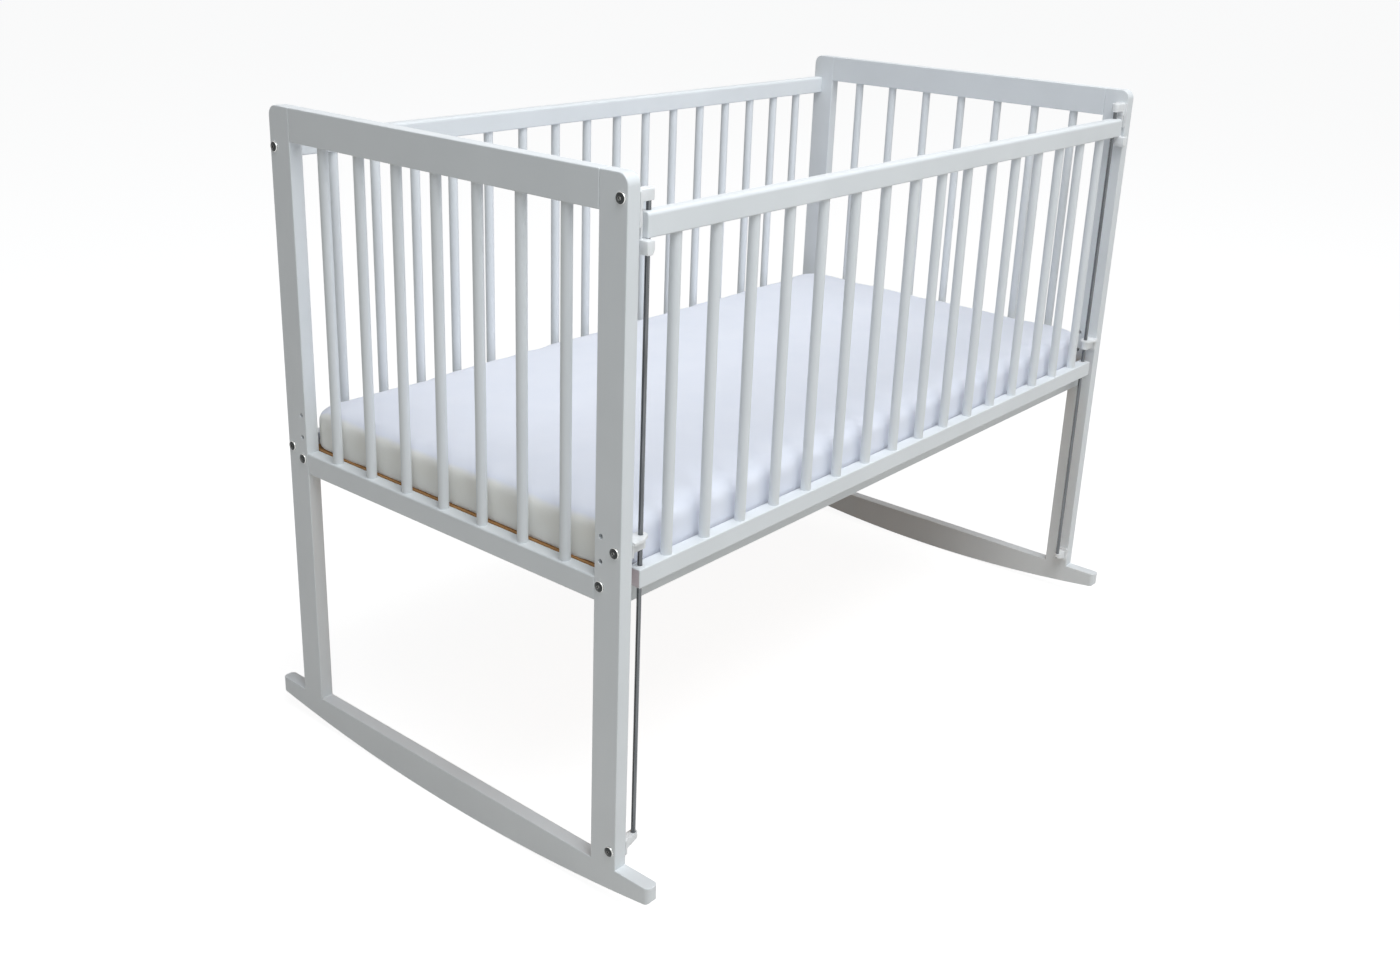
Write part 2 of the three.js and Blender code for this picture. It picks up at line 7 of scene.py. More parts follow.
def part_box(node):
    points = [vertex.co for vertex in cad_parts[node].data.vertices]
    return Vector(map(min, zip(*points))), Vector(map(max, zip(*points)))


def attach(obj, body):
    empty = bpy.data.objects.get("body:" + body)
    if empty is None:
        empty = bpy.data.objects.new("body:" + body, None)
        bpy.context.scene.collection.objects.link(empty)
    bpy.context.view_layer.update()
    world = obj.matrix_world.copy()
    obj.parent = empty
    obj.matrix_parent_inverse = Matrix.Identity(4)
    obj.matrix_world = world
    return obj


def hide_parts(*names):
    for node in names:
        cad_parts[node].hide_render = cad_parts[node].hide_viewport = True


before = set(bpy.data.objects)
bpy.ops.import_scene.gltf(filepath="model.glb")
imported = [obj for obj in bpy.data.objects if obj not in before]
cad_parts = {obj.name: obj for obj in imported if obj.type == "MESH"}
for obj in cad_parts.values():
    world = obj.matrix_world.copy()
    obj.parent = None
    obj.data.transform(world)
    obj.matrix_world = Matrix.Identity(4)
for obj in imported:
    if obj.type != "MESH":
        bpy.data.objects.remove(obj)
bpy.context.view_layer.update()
scene = bpy.context.scene
scene.view_settings.view_transform = "Standard"
ends = {"left": -1, "right": 1}
sides = {"front": -1, "back": 1}
print("frame loaded")


# The photograph's camera: where it stands, what it looks at, how far it leans, and its lens
photoCamera = {
    "place": (-1.7277, -1.3348, 1.1890),
    "target": (0.0, 0.0799, 0.3876),
    "lean": 2.230,
    "lens": 37.122,
    "sensor": 36.0,
    "shiftY": -0.0429,
    "clip": (0.05, 200.0),
}


def addCamera(spec):
    # turned from its place to the target, then leaned about its own line of sight
    camera = bpy.data.objects.new("camera", bpy.data.cameras.new("camera"))
    scene.collection.objects.link(camera)
    camera.data.lens = spec["lens"]
    camera.data.sensor_width = spec["sensor"]
    camera.data.shift_y = spec["shiftY"]
    camera.data.clip_start, camera.data.clip_end = spec["clip"]
    ahead = Vector(spec["target"]) - Vector(spec["place"])
    turn = ahead.to_track_quat("-Z", "Y").to_matrix().to_4x4()
    lean = Matrix.Rotation(np.radians(spec["lean"]), 4, "Z")
    camera.matrix_world = Matrix.Translation(spec["place"]) @ turn @ lean
    scene.camera = camera


addCamera(photoCamera)
print("camera placed")


# Materials. Helpers for node trees, then the finishes.
def nodeTree(name):
    made = bpy.data.materials.new(name)
    made.use_nodes = True
    nodes, links = made.node_tree.nodes, made.node_tree.links
    return made, nodes, links, nodes["Principled BSDF"]


def setInputs(node, values):
    for socket, value in values.items():
        node.inputs[socket].default_value = value


def stretchedNoise(nodes, links, stretch, scale, detail=3.0, roughness=0.55):
    # noise over the piece's own place, drawn out along one axis by a Mapping node
    place = nodes.new("ShaderNodeTexCoord")
    mapping = nodes.new("ShaderNodeMapping")
    setInputs(mapping, {"Scale": stretch})
    links.new(place.outputs["Object"], mapping.inputs["Vector"])
    noise = nodes.new("ShaderNodeTexNoise")
    setInputs(noise, {"Scale": scale, "Detail": detail, "Roughness": roughness})
    links.new(mapping.outputs["Vector"], noise.inputs["Vector"])
    return noise


def toneFrom(nodes, links, noise, deep, light, stops=(0.3, 0.7)):
    # a colour that runs from deep to light while the noise runs between the stops
    ramp = nodes.new("ShaderNodeValToRGB")
    for element, position, colour in zip(ramp.color_ramp.elements, stops, (deep, light)):
        element.position = position
        element.color = (*colour, 1)
    links.new(noise.outputs["Fac"], ramp.inputs["Fac"])
    return ramp.outputs["Color"]


def bumpFrom(nodes, links, noise, strength, distance, before=None):
    # relief from the noise, laid over the relief before it
    bump = nodes.new("ShaderNodeBump")
    setInputs(bump, {"Strength": strength, "Distance": distance})
    links.new(noise.outputs["Fac"], bump.inputs["Height"])
    if before is not None:
        links.new(before.outputs["Normal"], bump.inputs["Normal"])
    return bump


paintLook = {
    "light": (0.80, 0.825, 0.84),
    "deep": (0.765, 0.79, 0.805),
    "cloudScale": 9.0,
    "detail": 2.0,
    "roughness": {"To Min": 0.34, "To Max": 0.44},
    "grainScale": 100.0,
    "grainDetail": 4.0,
    "grainGrit": 0.6,
    "grainAcross": 9.0,
    "grainAlong": 0.22,
    "grainDepth": 0.00012,
    "peelScale": 420.0,
    "peelDepth": 0.00006,
    "relief": 0.5,
}


def paintMaterial(axis):
    # satin paint over straight grain that runs along the axis
    look = paintLook
    made, nodes, links, shader = nodeTree("paint" + axis.upper())
    stretch = [look["grainAcross"]] * 3
    stretch["xyz".index(axis)] = look["grainAlong"]
    grain = stretchedNoise(nodes, links, stretch, look["grainScale"], look["grainDetail"], look["grainGrit"])
    cloud = stretchedNoise(nodes, links, (1, 1, 1), look["cloudScale"], look["detail"])
    links.new(toneFrom(nodes, links, cloud, look["deep"], look["light"]), shader.inputs["Base Color"])
    peel = stretchedNoise(nodes, links, (1, 1, 1), look["peelScale"], look["detail"])
    gloss = nodes.new("ShaderNodeMapRange")
    setInputs(gloss, look["roughness"])
    links.new(peel.outputs["Fac"], gloss.inputs["Value"])
    links.new(gloss.outputs["Result"], shader.inputs["Roughness"])
    first = bumpFrom(nodes, links, grain, look["relief"], look["grainDepth"])
    second = bumpFrom(nodes, links, peel, look["relief"], look["peelDepth"], first)
    links.new(second.outputs["Normal"], shader.inputs["Normal"])
    return made


# glossy moulded plastic with faint flow marks
plasticLook = {
    "light": (0.88, 0.89, 0.90),
    "deep": (0.84, 0.855, 0.865),
    "stops": (0.3, 0.7),
    "stretch": (1, 1, 0.4),
    "scale": 160.0,
    "detail": 3.0,
    "grit": 0.55,
    "relief": 0.3,
    "depth": 0.00008,
    "inputs": {
        "Roughness": 0.24,
        "Subsurface Weight": 0.45,
        "Subsurface Radius": (1, 1, 1),
        "Subsurface Scale": 0.008,
    },
}
# sawn end grain: a mauve brown tone, partly the wood showing through where the paint has sunk in, and partly
# painted shade where the end faces the post
endGrainAndShadeLook = {
    "light": (0.74, 0.65, 0.67),
    "deep": (0.60, 0.52, 0.54),
    "stops": (0.3, 0.7),
    "stretch": (1, 1, 0.5),
    "scale": 1400.0,
    "detail": 4.0,
    "grit": 0.65,
    "relief": 0.5,
    "depth": 0.0001,
    "inputs": {"Roughness": 0.6},
}
# bare hardboard: felted brown fibres
boardLook = {
    "light": (0.60, 0.33, 0.13),
    "deep": (0.46, 0.23, 0.085),
    "stops": (0.3, 0.72),
    "stretch": (0.4, 1, 1),
    "scale": 700.0,
    "detail": 6.0,
    "grit": 0.7,
    "relief": 0.6,
    "depth": 0.0002,
    "inputs": {"Roughness": 0.82},
}


def steelLook(light, deep, roughness, stretch=(1, 1, 1), scale=1500.0):
    # plated steel with fine marks; the tone wanders between two greys, and on the rod, where the greys lie
    # far apart and the noise is drawn out along it, the bands are painted reflections
    return {
        "light": light,
        "deep": deep,
        "stops": (0.25, 0.75),
        "stretch": stretch,
        "scale": scale,
        "detail": 3.0,
        "grit": 0.55,
        "relief": 0.25,
        "depth": 0.00003,
        "inputs": {"Metallic": 1.0, "Roughness": roughness},
    }


steelLooks = {
    # the rod's long light and dark bands are painted reflections
    "rodSteelPaintedReflections": steelLook((0.23, 0.24, 0.25), (0.08, 0.085, 0.09), 0.26, (1, 1, 0.02), 900.0),
    # the bolt heads are one plated steel: the pale rim is a painted highlight, the dark face a painted dark
    # reflection, the lighter socket a painted highlight
    "boltFacePaintedDarkReflection": steelLook((0.055, 0.058, 0.058), (0.03, 0.033, 0.033), 0.38),
    "boltRimPaintedHighlight": steelLook((0.80, 0.80, 0.78), (0.62, 0.62, 0.60), 0.22),
    "boltSocketPaintedHighlight": steelLook((0.34, 0.34, 0.33), (0.24, 0.24, 0.235), 0.34),
}


def plainMaterial(name, look):
    # one stretched noise gives both the tone and the relief
    made, nodes, links, shader = nodeTree(name)
    marks = stretchedNoise(nodes, links, look["stretch"], look["scale"], look["detail"], look["grit"])
    tone = toneFrom(nodes, links, marks, look["deep"], look["light"], look["stops"])
    links.new(tone, shader.inputs["Base Color"])
    setInputs(shader, look["inputs"])
    bump = bumpFrom(nodes, links, marks, look["relief"], look["depth"])
    links.new(bump.outputs["Normal"], shader.inputs["Normal"])
    return made


paint = {axis: paintMaterial(axis) for axis in "xyz"}
whitePlastic = plainMaterial("whitePlastic", plasticLook)
steel = {name: plainMaterial(name, look) for name, look in steelLooks.items()}
hardboard = plainMaterial("hardboard", boardLook)
# end grain tone that also holds painted shade, for the drop side's lower rail ends
endGrainAndShade = plainMaterial("paintedEndGrain", endGrainAndShadeLook)
print("materials made")


# Surfaces. Every shape is rows of points, each row one closed ring.
mergeDistance = 1e-6  # points nearer than this are one point
leastRadius = 0.0001  # a corner never turns on less, so that its faces keep some area
brokenEdge = {"segments": 3, "angle": np.radians(38), "flatWeight": 90}


def skin(rings, endless=False):
    # neighbouring rings joined by quads, the last point of a ring back to its first; then a flat face at
    # each end, or, when the rings are endless, the last ring joined to the first
    number = np.arange(rings.shape[0] * rings.shape[1]).reshape(rings.shape[:2])
    near, far = (number, np.roll(number, -1, axis=0)) if endless else (number[:-1], number[1:])
    quads = np.stack([near, np.roll(near, -1, axis=1), np.roll(far, -1, axis=1), far], axis=-1)
    caps = [] if endless else [number[0].tolist(), number[-1].tolist()]
    mesh = bpy.data.meshes.new("skin")
    mesh.from_pydata(rings.reshape(-1, 3).tolist(), [], quads.reshape(-1, 4).tolist() + caps)
    return mesh


def tidyMesh(mesh):
    # coincident points merged, and every face turned outwards
    work = bmesh.new()
    work.from_mesh(mesh)
    bmesh.ops.remove_doubles(work, verts=work.verts, dist=mergeDistance)
    bmesh.ops.dissolve_degenerate(work, edges=work.edges, dist=mergeDistance)
    bmesh.ops.recalc_face_normals(work, faces=work.faces)
    work.to_mesh(mesh)
    work.free()
    return mesh


def joinMeshes(meshes):
    # several closed skins in one mesh
    work = bmesh.new()
    for mesh in meshes:
        work.from_mesh(mesh)
        bpy.data.meshes.remove(mesh)
    joined = bpy.data.meshes.new("joined")
    work.to_mesh(joined)
    work.free()
    return joined


def cornerTurns(steps):
    # the directions round a quarter circle at each of four corners, and the side of the middle each is on
    turn = np.linspace(0, np.pi / 2, steps)[None, :] + np.pi / 2 * np.arange(4)[:, None]
    corner = np.array([[1, 1], [-1, 1], [-1, -1], [1, -1]], float)
    return np.stack([np.cos(turn), np.sin(turn)], axis=-1), np.repeat(corner[:, None], steps, axis=1)


def roundedRectangle(a0, a1, b0, b1, radii, steps=6, footShare=1.0):
    # for each inset: centre + corner * (half size - inset - radius) + radius * (cos, sin), the radius less
    # by the inset; the foot draws in by its share of the inset only
    directions, corner = cornerTurns(steps)
    centre, half = np.array([a0 + a1, b0 + b1]) / 2, np.array([a1 - a0, b1 - b0]) / 2
    radii = np.broadcast_to(np.asarray(radii, float), 4)

    def shape(inset):
        inset = np.asarray(inset)[:, None, None, None]
        radius = np.maximum(radii[None, :, None, None] - inset, leastRadius)
        share = np.ones_like(corner)
        share[..., 1] = np.where(corner[..., 1] < 0, footShare, 1)
        points = centre + corner * (half - inset * share - radius) + radius * directions
        return points.reshape(len(inset), -1, 2)

    return shape


def flatShape(outline, normals):
    # any outline, drawn in along its normals by each inset
    return lambda inset: outline[None] - np.asarray(inset)[:, None, None] * normals[None]


def placed(axis, outline, place):
    # an outline's two places and its place along the axis, put in x, y, z order
    along = np.broadcast_to(np.asarray(place, float), outline.shape[:-1])
    parts = [outline[..., 0], outline[..., 1]]
    parts.insert("xyz".index(axis), along)
    return np.stack(parts, axis=-1)


def carried(axis, shape, low, high, ease=0.0, steps=5):
    # a shape carried along an axis; near each end it draws in on a quarter circle:
    # place = end - ease + ease * sin, inset = ease * (1 - cos)
    turn = np.linspace(0, np.pi / 2, steps) if ease > 0 else np.array([np.pi / 2])
    inset = ease * (1 - np.cos(turn))
    fromEnd = ease - ease * np.sin(turn)
    place = np.concatenate([(low + fromEnd)[::-1], high - fromEnd])
    return skin(placed(axis, shape(np.concatenate([inset[::-1], inset])), place[:, None]))


def extruded(axis, outline, low, high):
    # an outline carried straight along an axis
    return skin(placed(axis, np.stack([outline, outline]), np.array([low, high])[:, None]))


def circlePoints(count):
    # the cosine and sine of evenly spaced turns
    turn = np.linspace(0, 2 * np.pi, count, endpoint=False)
    return np.stack([np.cos(turn), np.sin(turn)], axis=-1)


def turned(axis, centre, profile, count=32):
    # a ring for each (radius, place) of the profile, round a line along the axis
    profile = np.asarray(profile, float)
    rings = np.asarray(centre, float) + profile[:, 0, None, None] * circlePoints(count)[None]
    return skin(placed(axis, rings, profile[:, 1, None]))


def tube(axis, centre, section, count=48):
    # a closed ring-shaped wall: its section of (radius, place) points carried once round the axis
    section = np.asarray(section, float)
    around = np.asarray(centre, float) + section[None, :, :1] * circlePoints(count)[:, None]
    return skin(placed(axis, around, section[None, :, 1]), endless=True)


def cutMesh(mesh, cutters, operation="DIFFERENCE"):
    # the mesh with the cutters taken away, or added, by an exact boolean
    body = bpy.data.objects.new("body", mesh)
    tool = bpy.data.objects.new("tool", tidyMesh(joinMeshes(cutters)))
    for item in (body, tool):
        scene.collection.objects.link(item)
    boolean = body.modifiers.new("cut", "BOOLEAN")
    boolean.operation = operation
    boolean.solver = "EXACT"
    boolean.use_self = True
    boolean.object = tool
    graph = bpy.context.evaluated_depsgraph_get()
    result = bpy.data.meshes.new_from_object(body.evaluated_get(graph))
    for item in (body, tool):
        data = item.data
        bpy.data.objects.remove(item)
        bpy.data.meshes.remove(data)
    return result


def smoothFaces(mesh):
    mesh.polygons.foreach_set("use_smooth", np.ones(len(mesh.polygons), bool))


def addPiece(name, mesh, materials, body, nodes=(), bevel=0.0):
    # a finished piece: smooth faces, edges broken by a bevel, flats kept flat by weighted normals
    mesh.name = name
    piece = bpy.data.objects.new(name, tidyMesh(mesh))
    scene.collection.objects.link(piece)
    for material in materials:
        mesh.materials.append(material)
    smoothFaces(mesh)
    if bevel > 0:
        broken = piece.modifiers.new("brokenEdges", "BEVEL")
        broken.width = bevel
        broken.segments = brokenEdge["segments"]
        broken.limit_method = "ANGLE"
        broken.angle_limit = brokenEdge["angle"]
    else:
        mesh.set_sharp_from_angle(angle=brokenEdge["angle"])
    weighted = piece.modifiers.new("flats", "WEIGHTED_NORMAL")
    weighted.keep_sharp = True
    weighted.weight = brokenEdge["flatWeight"]
    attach(piece, body)
    if nodes:
        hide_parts(*nodes)
    return piece


def boxOf(node):
    # the node's lowest and highest corner
    low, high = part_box(node)
    return np.array(low), np.array(high)


def nodeName(pieceName):
    # backTopRailBolt becomes back_top_rail_bolt
    return "".join("_" + letter.lower() if letter.isupper() else letter for letter in pieceName)


# Wooden parts
postLook = {
    "ease": 0.0013,
    "easeSteps": 7,
    "topCorner": 0.014,
    "otherCorner": 0.0013,
    "footCorner": 0.0004,
    "cornerSteps": 9,
    "footShare": 0.1,
    "holePitch": 0.032,
    "freeHoles": (1, 2),
    "holeRadius": 0.0031,
    "holeFlare": 0.0005,
    "holeSides": 24,
}
bearerBolt = sum(boxOf("left_back_bearer_bolt")) / 2  # the holes that stay free are in line above it


def throughHole(x0, x1, y, z, look):
    # a straight bore that flares a little at both faces
    radius, flare = look["holeRadius"], look["holeFlare"]
    wide = radius + 2 * flare
    profile = [(wide, x0 - flare), (radius, x0 + flare), (radius, x1 - flare), (wide, x1 + flare)]
    return turned("x", (y, z), profile, look["holeSides"])


def postPiece(endName, sideName):
    # a board on edge: a rectangle in y and z with a large outer top corner, carried along x; its foot
    # reaches down to where the rocker's face turns flat, and stays nearly sharp
    look = postLook
    node = f"{endName}_{sideName}_post"
    low, high = boxOf(node)
    side = sides[sideName]
    foot = low[2] - rockerLook["ease"]
    topCorners = [look["topCorner"], look["otherCorner"]][::side]  # the large one is on the outer side
    radii = [*topCorners, look["footCorner"], look["footCorner"]]
    shape = roundedRectangle(low[1], high[1], foot, high[2], radii, look["cornerSteps"], look["footShare"])
    board = carried("x", shape, low[0], high[0], look["ease"], look["easeSteps"])
    heights = [bearerBolt[2] + look["holePitch"] * step for step in look["freeHoles"]]
    holes = [throughHole(low[0], high[0], side * bearerBolt[1], z, look) for z in heights]
    board = cutMesh(tidyMesh(board), holes)
    addPiece(endName + sideName.capitalize() + "Post", board, [paint["z"]], "frame", [node])


railLook = {"cutEnd": 0.0018, "bearerEase": 0.0014, "endFacing": 0.9}


def railPiece(name, node, axis, ease, body="frame", box=None, endMaterial=None):
    # a rounded rectangle across, carried along the rail's own length; cut ends may have a material of their
    # own, such as end grain with painted shade
    low, high = box or boxOf(node)
    length = "xyz".index(axis)
    a, b = [i for i in range(3) if i != length]
    shape = roundedRectangle(low[a], high[a], low[b], high[b], ease)
    rail = carried(axis, shape, low[length], high[length], railLook["cutEnd"])
    finishes = [paint[axis], endMaterial] if endMaterial else [paint[axis]]
    piece = addPiece(name, rail, finishes, body, [node])
    if endMaterial:
        for face in piece.data.polygons:
            face.material_index = int(abs(face.normal[length]) > railLook["endFacing"])


balusterLook = {"radius": 0.007, "tenon": 0.010, "sides": 40}


def balusterPiece(name, node, x, y, low, high, body):
    # a dowel whose ends stand a centimetre deep in the rails
    look = balusterLook
    profile = [(look["radius"], low - look["tenon"]), (look["radius"], high + look["tenon"])]
    dowel = turned("z", (x, y), profile, look["sides"])
    addPiece(name, dowel, [paint["z"]], body, [node])


rockerLook = {
    "ease": 0.0013,
    "easeSteps": 6,
    "planRadius": 0.0075,
    "toeRadius": 0.0055,
    "topEase": 0.0012,
    "endHeight": 0.0235,
    "steps": 64,
    "endSteps": 12,
}


def rockerPiece(endName):
    # a rounded rectangle in x and z for each y: flat on top, an arc of a great circle below, and near its
    # ends narrowed in plan, lifted at the toe and dropped at the top, each on a quarter circle
    look = rockerLook
    low, high = boxOf(endName + "_rocker")
    half = high[1]
    planRadius = look["planRadius"]
    sagitta = high[2] - low[2] - look["endHeight"]
    great = (half**2 + sagitta**2) / (2 * sagitta)
    endZone = half - planRadius + planRadius * np.sin(np.linspace(0, np.pi / 2, look["endSteps"]))
    middle = np.linspace(-(half - planRadius), half - planRadius, look["steps"])
    y = np.concatenate([-endZone[:0:-1], middle, endZone[1:]])

    def roundOff(radius):
        into = np.clip(np.abs(y) - (half - radius), 0, radius)
        return radius - np.sqrt(radius**2 - into**2)

    halfWidth = (high[0] - low[0]) / 2 - roundOff(planRadius)
    top = high[2] - roundOff(look["topEase"])
    bottom = low[2] + great - np.sqrt(great**2 - y**2) + roundOff(look["toeRadius"])
    directions, corner = (grid.reshape(1, -1, 2) for grid in cornerTurns(look["easeSteps"]))
    ease = look["ease"]
    boxHalf = np.stack([halfWidth, (top - bottom) / 2], axis=1)[:, None]
    centre = np.stack([np.full_like(y, (low[0] + high[0]) / 2), (top + bottom) / 2], axis=1)[:, None]
    section = corner * (boxHalf - ease) + directions * ease + centre
    rings = placed("y", section, y[:, None])
    addPiece(endName + "Rocker", skin(rings), [paint["y"]], "frame", [endName + "_rocker"])


endPanel = {"balusters": 7, "span": 0.441, "lowerHeight": 0.031, "topEase": 0.0014, "lowerEase": 0.0024}
sidePanel = {
    "balusters": 16,
    "span": 1.062,
    "lowerHeight": 0.0244,
    "topEase": (0.0048, 0.0048, 0.0018, 0.0018),
    "lowerEase": 0.0015,
}


def balusterPlaces(look):
    # numbers from 1, each with its place: evenly over the span
    count = look["balusters"]
    return enumerate((np.arange(count) - (count - 1) / 2) * look["span"] / (count - 1), 1)


def panelPieces(prefix, axis, look):
    # top rail, lower rail and the balusters between them; the lower rail's node holds its balusters too
    topNode, combNode = nodeName(prefix) + "_top_rail", nodeName(prefix) + "_lower_rail_and_balusters"
    railPiece(prefix + "TopRail", topNode, axis, look["topEase"])
    low, high = boxOf(topNode)
    under, middleX, middleY = low[2], (low[0] + high[0]) / 2, (low[1] + high[1]) / 2
    low[2] = boxOf(combNode)[0][2]
    high[2] = low[2] + look["lowerHeight"]
    railPiece(prefix + "LowerRail", combNode, axis, look["lowerEase"], box=(low, high))
    for number, place in balusterPlaces(look):
        x, y = (place, middleY) if axis == "x" else (middleX, place)
        balusterPiece(f"{prefix}Baluster{number:02d}", combNode, x, y, high[2], under, "frame")


for endName in ends:
    rockerPiece(endName)
    for sideName in sides:
        postPiece(endName, sideName)
    panelPieces(endName + "End", "y", endPanel)
print("ends made")

panelPieces("back", "x", sidePanel)
for sideName in sides:
    railPiece(sideName + "Bearer", f"{sideName}_bearer", "x", railLook["bearerEase"])
print("back panel and bearers made")

railPiece("dropSideTopRail", "drop_side_top_rail", "x", sidePanel["topEase"], "drop_side")
# the lower rail's cut ends take the end grain tone with its painted shade
railPiece("dropSideLowerRail", "drop_side_lower_rail", "x", sidePanel["lowerEase"], "drop_side",
          endMaterial=endGrainAndShade)
under = boxOf("drop_side_top_rail")[0][2]
lowerTop = boxOf("drop_side_lower_rail")[1][2]
sideLine = sum(box[1] for box in boxOf("drop_side_top_rail")) / 2
for number, x in balusterPlaces(sidePanel):
    node = f"drop_side_baluster_{number:02d}"
    balusterPiece(f"dropSideBaluster{number:02d}", node, x, sideLine, lowerTop, under, "drop_side")
print("drop side made")


# The rods and their fittings
rodLook = {"x": 0.578, "radius": 0.003, "chamfer": 0.0005, "sides": 48}
bushLook = {
    "radius": 0.0056,
    "gap": 0.0004,
    "depth": 0.004,
    "height": 0.0008,
    "edgeWidth": 0.0005,
    "edgeHeight": 0.0004,
    "mouth": 0.0003,
}


def rodPieces(endName, end):
    # the rod, and the thin flanged bush that lines the lower rail where the rod goes through it
    centre = (end * rodLook["x"], sideLine)
    low, high = boxOf(endName + "_rod")
    r, c = rodLook["radius"], rodLook["chamfer"]
    profile = [(r - c, low[2]), (r, low[2] + c), (r, high[2] - c), (r - c, high[2])]
    bar = turned("z", centre, profile, rodLook["sides"])
    addPiece(endName + "Rod", bar, [steel["rodSteelPaintedReflections"]], "frame", [endName + "_rod"])
    look = bushLook
    outer, hole = look["radius"], r + look["gap"]
    foot, top = lowerTop - look["depth"], lowerTop + look["height"]
    section = [
        (hole, foot), (outer, foot), (outer, top - look["edgeHeight"]), (outer - look["edgeWidth"], top),
        (hole + look["mouth"], top), (hole, top - look["mouth"]),
    ]
    bush = tube("z", centre, section)
    addPiece(endName + "RodBush", bush, [whitePlastic], "drop_side", [])


def blockMesh(x0, x1, y0, y1, z0, z1):
    # a plain six-sided block; its edges are broken later by the Bevel modifier
    return extruded("x", np.array([[y1, z1], [y0, z1], [y0, z0], [y1, z0]]), min(x0, x1), max(x0, x1))


fittingLook = {
    "plate": 0.003,
    "plateWidth": 0.0215,
    "plateCorner": 0.003,
    "plateSteps": 7,
    "radius": 0.0062,
    "noseSteps": 20,
    "easeSteps": 6,
    "bore": 0.0033,
    "boreSides": 32,
    "bevel": 0.0005,
    "overlap": 0.001,  # how far solids that are made one reach into each other
    "clear": 0.010,  # how far a bore's cutter stands out of what it cuts
}
topLook = {
    "lugHeight": 0.014,
    "lugEase": 0.0014,
    "lugRoof": 0.004,
    "rootReach": 0.005,
    "rootHeight": 0.007,
    "rootInto": 0.003,
}
tongueHalf = 0.0065  # half the width of the catch's tongue and of its root on the bracket
catchLook = {
    "height": 0.0163,
    "depth": 0.019,
    "noseHeight": 0.011,
    "noseTaper": 0.0032,
    "backTaper": 0.0016,
    "tongue": 0.0025,
    "bevel": 0.0009,
}
guideLook = {"tab": 0.0038, "sleeve": 0.0125, "nose": 0.0085, "noseTurn": np.pi / 3, "noseSteps": 16}
footLook = {
    "radius": 0.0054,
    "rise": 0.016,
    "tail": 0.002,
    "plateMargin": 0.004,
    "lip": 0.006,
    "lipPast": 0.001,
    "seatDepth": 0.009,
    "seatClear": 0.004,
    "skim": 0.0002,
    "wedgePast": 0.004,
    "wedgeHalf": 0.020,
}
bracketLow, bracketHigh = boxOf("right_top_bracket")
fittingFront = bracketLow[1]
plateFace = bracketHigh[0] - fittingLook["plate"]


def bossMesh(end, plateX, rodX, radius, z0, z1, ease=0.0):
    # a D in plan, straight from the plate and a half circle round the rod, carried up along z
    turn = np.linspace(-np.pi / 2, np.pi / 2, fittingLook["noseSteps"])
    nose = np.stack([rodX - end * radius * np.cos(turn), sideLine - end * radius * np.sin(turn)], axis=1)
    noseNormals = np.stack([-end * np.cos(turn), -end * np.sin(turn)], axis=1)
    root = np.array([[plateX, nose[-1, 1]], [plateX, nose[0, 1]]])
    rootNormals = np.array([[0, noseNormals[-1, 1]], [0, noseNormals[0, 1]]])
    shape = flatShape(np.concatenate([nose, root]), np.concatenate([noseNormals, rootNormals]))
    return carried("z", shape, z0, z1, ease, fittingLook["easeSteps"])


def fuse(parts, cutters=()):
    # closed skins made one body, then the bores taken out of it
    body = cutMesh(tidyMesh(parts[0]), parts[1:], "UNION")
    return cutMesh(tidyMesh(body), list(cutters)) if cutters else body


def fittingPiece(name, mesh):
    node = nodeName(name)
    addPiece(name, mesh, [whitePlastic], "frame", [node], bevel=fittingLook["bevel"])


def fittingBase(node, end, radius, z0, z1, ease=0.0):
    # the plate against the post, as high as the node, and a boss round the rod between two heights;
    # also where the plate's back is and where its face is
    look = fittingLook
    low, high = boxOf(node)
    inner = high[0] if end > 0 else low[0]
    plateX = inner - end * look["plate"]
    back = fittingFront + look["plateWidth"]
    outline = roundedRectangle(fittingFront, back, low[2], high[2], look["plateCorner"], look["plateSteps"])
    plate = carried("x", outline, min(inner, plateX), max(inner, plateX))
    boss = bossMesh(end, plateX + end * look["overlap"], end * rodLook["x"], radius, z0, z1, ease)
    return plate, boss, inner, plateX


def rodBore(end, z0, z1):
    # what is cut out for the rod between two heights
    bore = fittingLook["bore"]
    return turned("z", (end * rodLook["x"], sideLine), [(bore, z0), (bore, z1)], fittingLook["boreSides"])


def topBracketPiece(endName, end):
    # plate, lug over the rod's end, and the root that the catch springs from
    look = topLook
    name = endName + "TopBracket"
    top = boxOf(nodeName(name))[1][2]
    under = top - look["lugHeight"]
    plate, lug, _, plateX = fittingBase(nodeName(name), end, fittingLook["radius"],
                                        under, top, look["lugEase"])
    root = blockMesh(plateX + end * fittingLook["overlap"], plateX - end * look["rootReach"],
                     sideLine - tongueHalf, sideLine + tongueHalf,
                     under - look["rootHeight"], under + look["rootInto"])
    bore = rodBore(end, under - fittingLook["clear"], top - look["lugRoof"])
    fittingPiece(name, fuse([plate, lug, root], [bore]))


def catchPiece(endName, end):
    # the block's outline in x and z, carried along y; a thin tongue joins it to the bracket
    look = catchLook
    low, high = boxOf(endName + "_catch")
    nose, back = (low[0], high[0]) if end > 0 else (high[0], low[0])
    seat = low[2] + look["height"]
    outline = np.array([
        (back, seat), (nose, seat), (nose, seat - look["noseHeight"]),
        (nose + end * look["noseTaper"], low[2]), (back - end * look["backTaper"], low[2]),
    ])
    block = extruded("y", outline, low[1], low[1] + look["depth"])
    tongueX = plateFace * end - end * look["tongue"]
    tongue = blockMesh(tongueX, tongueX - end * look["tongue"], sideLine - tongueHalf, sideLine + tongueHalf,
                       seat - look["height"] / 2, high[2])
    addPiece(endName + "Catch", fuse([block, tongue]), [whitePlastic], endName + "_catch_lever",
             [endName + "_catch"], bevel=look["bevel"])


